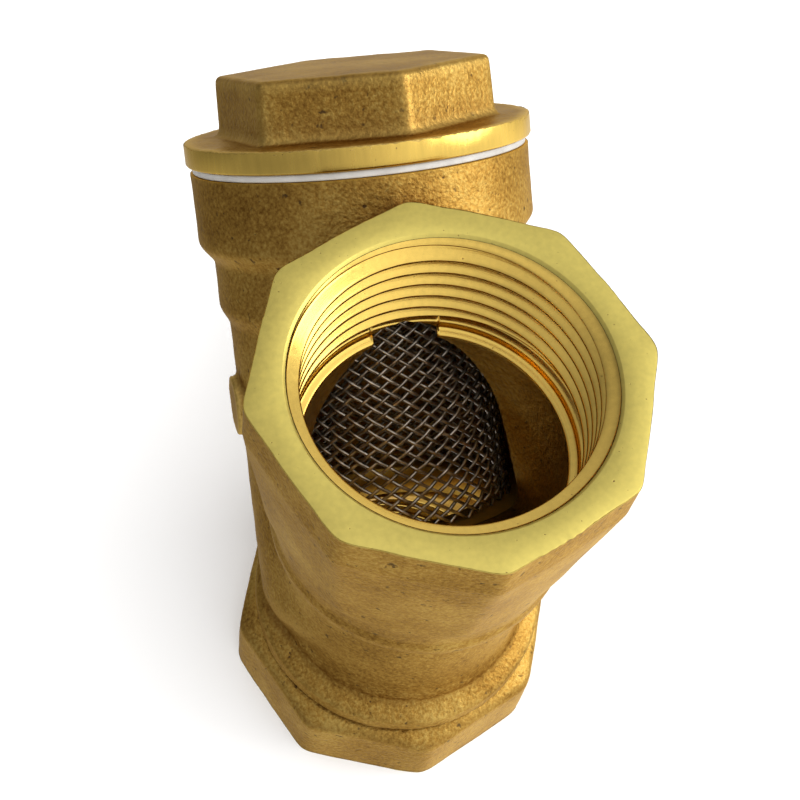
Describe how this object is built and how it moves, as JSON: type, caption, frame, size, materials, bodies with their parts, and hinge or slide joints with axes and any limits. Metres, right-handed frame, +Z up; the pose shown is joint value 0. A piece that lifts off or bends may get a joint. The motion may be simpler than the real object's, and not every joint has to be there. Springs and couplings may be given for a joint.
{
  "type": "threaded y-strainer",
  "caption": "Cast brass Y-strainer: octagonal ends with female pipe threads, slanted branch with a hexagon-headed screw cap, white gasket and woven wire screen inside.",
  "frame": {"origin": "centre of the inlet thread in the plane of the inlet face", "axes": "+Z up the run from the inlet to the outlet, +Y towards the slanted branch, +X to the right seen from the side away from the branch"},
  "size_m": [0.042, 0.0782, 0.0717],
  "materials": {
    "cast_body": "as-cast skin, machined ends and threads",
    "wire": "woven stainless wire",
    "gasket": "plain white fluoropolymer",
    "cast_cap": "as-cast hexagon, machined flange and thread"
  },
  "bodies": {
    "housing": {"body": "cast_body"},
    "strainer_set": {"screen": "wire", "cap_gasket": "gasket"},
    "plug": {"cap": "cast_cap"}
  },
  "joints": [
    {"name": "cap_travel", "type": "slide", "parent": "housing", "child": "strainer_set", "axis": [0, 0.7396, 0.673], "range_m": [0, 0.009]},
    {"name": "cap_turn", "type": "hinge", "parent": "strainer_set", "child": "plug", "pos_m": [0, 0, 0.01755], "axis": [0, 0.7396, 0.673], "range_deg": [0, 2160]}
  ],
  "couplings": [
    {"joint": "cap_turn", "follows": "cap_travel", "rad_per_m": 4188.8}
  ]
}
